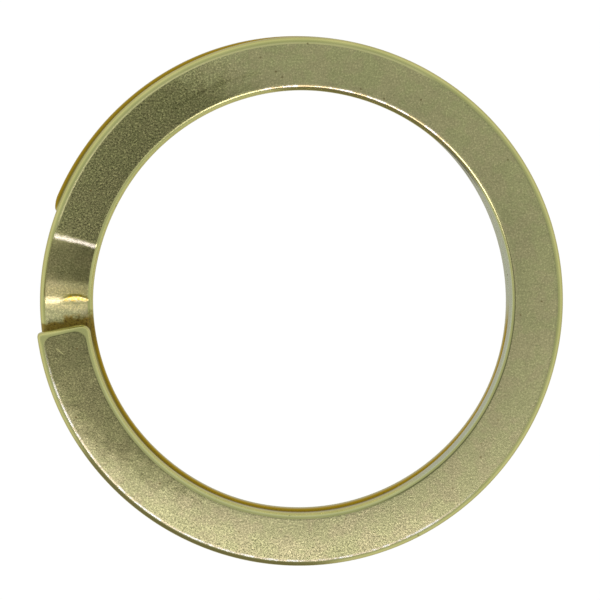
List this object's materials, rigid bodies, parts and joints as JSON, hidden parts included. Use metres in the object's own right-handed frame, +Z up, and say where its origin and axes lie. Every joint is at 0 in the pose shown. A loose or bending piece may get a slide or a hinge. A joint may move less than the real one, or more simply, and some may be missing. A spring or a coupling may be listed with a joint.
{
  "type": "split key ring",
  "caption": "Flat-wire brass split key ring: flat turns joined by a folded crossover, with free ends that spring open so that a key can be worked round.",
  "frame": {"origin": "centre of the ring on the flat underside of its lower turn", "axes": "+Z up through both turns, square to their faces; +X away from the crossover and the free ends; +Y across the ring, towards the side where the lower free end lies"},
  "size_m": [0.0316, 0.0318, 0.0029],
  "materials": {
    "brass_wire": "satin aged brass, tumbled, finely speckled, brighter on its rounded edges"
  },
  "bodies": {
    "lower_free_end": {"lower_free_end": "brass_wire"},
    "lower_flex_section_2": {"lower_flex_section_2": "brass_wire"},
    "lower_flex_section_3": {"lower_flex_section_3": "brass_wire"},
    "lower_flex_section_4": {"lower_flex_section_4": "brass_wire"},
    "lower_flex_section_5": {"lower_flex_section_5": "brass_wire"},
    "lower_flex_section_6": {"lower_flex_section_6": "brass_wire"},
    "middle": {"upper_back_half": "brass_wire", "crossover": "brass_wire", "lower_back_half": "brass_wire"},
    "upper_flex_section_6": {"upper_flex_section_6": "brass_wire"},
    "upper_flex_section_5": {"upper_flex_section_5": "brass_wire"},
    "upper_flex_section_4": {"upper_flex_section_4": "brass_wire"},
    "upper_flex_section_3": {"upper_flex_section_3": "brass_wire"},
    "upper_flex_section_2": {"upper_flex_section_2": "brass_wire"},
    "upper_free_end": {"upper_free_end": "brass_wire"}
  },
  "joints": [
    {"name": "lower_turn_bend_1", "type": "hinge", "parent": "lower_free_end", "child": "lower_flex_section_2", "pos_m": [-0.0093, 0.01085, 0.0007], "axis": [-0.8251, 0.565, 0], "range_deg": [0, 0.455]},
    {"name": "lower_turn_bend_2", "type": "hinge", "parent": "lower_flex_section_2", "child": "lower_flex_section_3", "pos_m": [-0.00263, 0.01404, 0.0007], "axis": [-0.6508, 0.7593, 0], "range_deg": [0, 0.869]},
    {"name": "lower_turn_bend_3", "type": "hinge", "parent": "lower_flex_section_3", "child": "lower_flex_section_4", "pos_m": [0.00475, 0.01348, 0.0007], "axis": [-0.4321, 0.9018, 0], "range_deg": [0, 1.23]},
    {"name": "lower_turn_bend_4", "type": "hinge", "parent": "lower_flex_section_4", "child": "lower_flex_section_5", "pos_m": [0.01085, 0.0093, 0.0007], "axis": [-0.184, 0.9829, 0], "range_deg": [0, 1.5]},
    {"name": "lower_turn_bend_5", "type": "hinge", "parent": "lower_flex_section_5", "child": "lower_flex_section_6", "pos_m": [0.01404, 0.00263, 0.0007], "axis": [0.0767, 0.9971, 0], "range_deg": [0, 1.67]},
    {"name": "lower_end_opens", "type": "hinge", "parent": "lower_flex_section_6", "child": "middle", "pos_m": [0.01348, -0.00475, 0.0007], "axis": [0.3322, 0.9432, 0], "range_deg": [0, 1.72], "stiffness_Nm_per_rad": 36},
    {"name": "upper_end_opens", "type": "hinge", "parent": "middle", "child": "upper_flex_section_6", "pos_m": [0.0142, 0.00162, 0.0022], "axis": [-0.1132, 0.9936, 0], "range_deg": [0, 1.72], "stiffness_Nm_per_rad": 36},
    {"name": "upper_turn_bend_5", "type": "hinge", "parent": "upper_flex_section_6", "child": "upper_flex_section_5", "pos_m": [0.0131, -0.0057, 0.0022], "axis": [0.1478, 0.989, 0], "range_deg": [0, 1.67]},
    {"name": "upper_turn_bend_4", "type": "hinge", "parent": "upper_flex_section_5", "child": "upper_flex_section_4", "pos_m": [0.0085, -0.01149, 0.0022], "axis": [0.3987, 0.9171, 0], "range_deg": [0, 1.5]},
    {"name": "upper_turn_bend_3", "type": "hinge", "parent": "upper_flex_section_4", "child": "upper_flex_section_3", "pos_m": [0.00162, -0.0142, 0.0022], "axis": [0.6225, 0.7826, 0], "range_deg": [0, 1.23]},
    {"name": "upper_turn_bend_2", "type": "hinge", "parent": "upper_flex_section_3", "child": "upper_flex_section_2", "pos_m": [-0.0057, -0.0131, 0.0022], "axis": [0.8039, 0.5948, 0], "range_deg": [0, 0.869]},
    {"name": "upper_turn_bend_1", "type": "hinge", "parent": "upper_flex_section_2", "child": "upper_free_end", "pos_m": [-0.01149, -0.0085, 0.0022], "axis": [0.9304, 0.3665, 0], "range_deg": [0, 0.455]}
  ],
  "couplings": [
    {"joint": "lower_turn_bend_1", "follows": "lower_end_opens", "ratio": 0.25882},
    {"joint": "lower_turn_bend_2", "follows": "lower_end_opens", "ratio": 0.5},
    {"joint": "lower_turn_bend_3", "follows": "lower_end_opens", "ratio": 0.70711},
    {"joint": "lower_turn_bend_4", "follows": "lower_end_opens", "ratio": 0.86603},
    {"joint": "lower_turn_bend_5", "follows": "lower_end_opens", "ratio": 0.96593},
    {"joint": "upper_turn_bend_5", "follows": "upper_end_opens", "ratio": 0.96593},
    {"joint": "upper_turn_bend_4", "follows": "upper_end_opens", "ratio": 0.86603},
    {"joint": "upper_turn_bend_3", "follows": "upper_end_opens", "ratio": 0.70711},
    {"joint": "upper_turn_bend_2", "follows": "upper_end_opens", "ratio": 0.5},
    {"joint": "upper_turn_bend_1", "follows": "upper_end_opens", "ratio": 0.25882}
  ]
}
